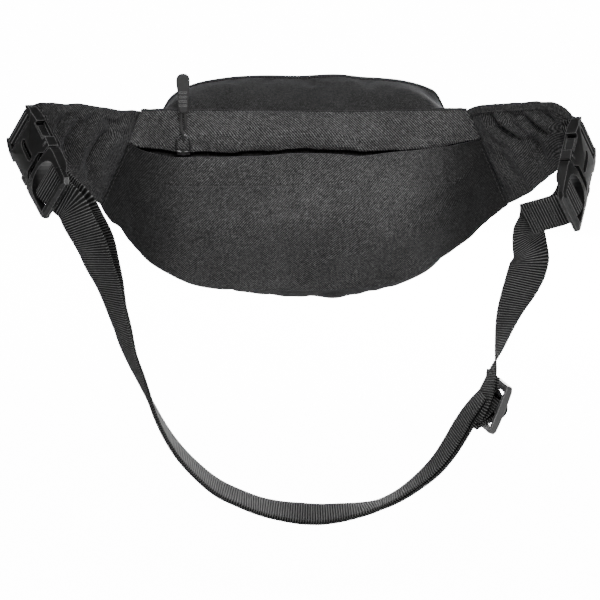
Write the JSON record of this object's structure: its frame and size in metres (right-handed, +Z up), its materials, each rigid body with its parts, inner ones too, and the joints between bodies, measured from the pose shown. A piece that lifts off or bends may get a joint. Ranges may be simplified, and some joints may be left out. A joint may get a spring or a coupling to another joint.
{
  "type": "waist pack",
  "caption": "Padded waist pack on a webbing belt with two side release buckles, a strap adjuster and zipped pockets.",
  "frame": {"origin": "centre of the flat wearer-side face of the pack, on the outer face of the rear pocket", "axes": "+Z up as worn, +X across the pack to the right seen from the wearer side, +Y away from the wearer towards the front pocket"},
  "size_m": [0.4029, 0.202, 0.3066],
  "materials": {
    "pack_fabric": "woven polyester twill",
    "lining": "plain lining",
    "webbing": "ribbed polypropylene webbing",
    "binding": "grosgrain binding",
    "foam": "closed foam padding",
    "buckle_plastic": "moulded acetal, fine satin",
    "zip_coil": "nylon coil",
    "zip_tape": "woven zip tape",
    "slider_metal": "black lacquered zinc",
    "ring_metal": "black nickel wire",
    "cord": "braided cord",
    "grip_rubber": "moulded soft rubber"
  },
  "bodies": {
    "pack": {"back_foam_pad": "foam", "back_panel": "pack_fabric", "bottom_binding": "binding", "bottom_gusset": "pack_fabric", "front_panel": "pack_fabric", "front_pocket_gusset": "pack_fabric", "front_pocket_panel": "pack_fabric", "front_zip_coil": "zip_coil", "front_zip_tape_lower": "zip_tape", "front_zip_tape_upper": "zip_tape", "left_wing_binding": "binding", "left_wing_foam": "foam", "left_wing_inner_panel": "pack_fabric", "left_wing_outer_panel": "pack_fabric", "main_lining": "lining", "main_zip_coil": "zip_coil", "main_zip_tape_front": "zip_tape", "main_zip_tape_rear": "zip_tape", "rear_pocket_lining": "lining", "rear_pocket_panel": "pack_fabric", "rear_yoke_panel": "pack_fabric", "rear_zip_coil": "zip_coil", "rear_zip_tape_lower": "zip_tape", "rear_zip_tape_upper": "zip_tape", "right_wing_binding": "binding", "right_wing_foam": "foam", "right_wing_inner_panel": "pack_fabric", "right_wing_outer_panel": "pack_fabric", "top_binding": "binding", "top_gusset": "pack_fabric"},
    "belt": {"belt_webbing_left": "webbing", "belt_webbing_right": "webbing", "left_male_buckle": "buckle_plastic", "right_male_buckle": "buckle_plastic"},
    "left_socket": {"left_female_buckle": "buckle_plastic", "left_webbing_tab": "webbing"},
    "right_socket": {"right_female_buckle": "buckle_plastic", "right_webbing_tab": "webbing"},
    "left_latch_a": {"left_prong_a": "buckle_plastic"},
    "left_latch_b": {"left_prong_b": "buckle_plastic"},
    "right_latch_a": {"right_prong_a": "buckle_plastic"},
    "right_latch_b": {"right_prong_b": "buckle_plastic"},
    "adjuster": {"strap_adjuster": "buckle_plastic", "adjuster_webbing": "webbing"},
    "rear_slider": {"rear_zip_slider": "slider_metal"},
    "rear_ring": {"rear_zip_ring": "ring_metal"},
    "rear_puller": {"rear_zip_cord": "cord", "rear_zip_grip": "grip_rubber"},
    "main_slider": {"main_zip_slider": "slider_metal"},
    "main_ring": {"main_zip_ring": "ring_metal"},
    "main_puller": {"main_zip_cord": "cord", "main_zip_grip": "grip_rubber"},
    "front_slider": {"front_zip_slider": "slider_metal"},
    "front_ring": {"front_zip_ring": "ring_metal"},
    "front_puller": {"front_zip_cord": "cord", "front_zip_grip": "grip_rubber"}
  },
  "joints": [
    {"name": "belt_swing", "type": "hinge", "parent": "pack", "child": "belt", "pos_m": [0, -0.035, 0.049], "axis": [1, 0, 0], "range_deg": [-50, 10]},
    {"name": "left_unclip", "type": "slide", "parent": "belt", "child": "left_socket", "axis": [-0.4297, 0.5496, 0.7165], "range_m": [0, 0.03]},
    {"name": "left_press_a", "type": "hinge", "parent": "belt", "child": "left_latch_a", "pos_m": [-0.16868, -0.06332, 0.03577], "axis": [-0.7807, -0.6248, 0.011], "range_deg": [0, 8], "stiffness_Nm_per_rad": 0.05},
    {"name": "left_press_b", "type": "hinge", "parent": "belt", "child": "left_latch_b", "pos_m": [-0.18138, -0.04779, 0.01624], "axis": [0.7807, 0.6248, -0.011], "range_deg": [0, 8], "stiffness_Nm_per_rad": 0.05},
    {"name": "right_unclip", "type": "slide", "parent": "belt", "child": "right_socket", "axis": [0.2441, 0.6323, 0.7353], "range_m": [0, 0.03]},
    {"name": "right_press_a", "type": "hinge", "parent": "belt", "child": "right_latch_a", "pos_m": [0.18548, -0.04975, 0.00829], "axis": [0.8925, -0.4431, 0.0847], "range_deg": [0, 8], "stiffness_Nm_per_rad": 0.05},
    {"name": "right_press_b", "type": "hinge", "parent": "belt", "child": "right_latch_b", "pos_m": [0.17486, -0.06754, 0.02711], "axis": [-0.8925, 0.4431, -0.0847], "range_deg": [0, 8], "stiffness_Nm_per_rad": 0.05},
    {"name": "adjuster_slide", "type": "slide", "parent": "belt", "child": "adjuster", "axis": [0.3609, 0.0201, 0.9324], "range_m": [-0.005, 0.01]},
    {"name": "rear_zip_travel", "type": "slide", "parent": "pack", "child": "rear_slider", "axis": [1, 0, 0], "range_m": [-0.012, 0.185]},
    {"name": "rear_ring_turn", "type": "hinge", "parent": "rear_slider", "child": "rear_ring", "pos_m": [-0.0835, -0.0027, 0.0334], "axis": [1, 0, 0], "range_deg": [0, 110]},
    {"name": "rear_puller_turn", "type": "hinge", "parent": "rear_ring", "child": "rear_puller", "pos_m": [-0.0835, -0.0027, 0.045], "axis": [1, 0, 0], "range_deg": [0, 50]},
    {"name": "main_zip_travel", "type": "slide", "parent": "pack", "child": "main_slider", "axis": [1, 0, 0], "range_m": [0, 0.08]},
    {"name": "main_ring_turn", "type": "hinge", "parent": "main_slider", "child": "main_ring", "pos_m": [-0.05, 0.07707, 0.0779], "axis": [1, 0, 0], "range_deg": [0, 100]},
    {"name": "main_puller_turn", "type": "hinge", "parent": "main_ring", "child": "main_puller", "pos_m": [-0.05, 0.08448, 0.06898], "axis": [1, 0, 0], "range_deg": [0, 50]},
    {"name": "front_zip_travel", "type": "slide", "parent": "pack", "child": "front_slider", "axis": [-1, 0, 0], "range_m": [0, 0.08]},
    {"name": "front_ring_turn", "type": "hinge", "parent": "front_slider", "child": "front_ring", "pos_m": [0.052, 0.086, 0.0382], "axis": [1, 0, 0], "range_deg": [0, 90]},
    {"name": "front_puller_turn", "type": "hinge", "parent": "front_ring", "child": "front_puller", "pos_m": [0.052, 0.0976, 0.0382], "axis": [1, 0, 0], "range_deg": [0, 50]}
  ],
  "couplings": [
    {"joint": "left_press_b", "follows": "left_press_a", "ratio": 1},
    {"joint": "right_press_b", "follows": "right_press_a", "ratio": 1}
  ]
}
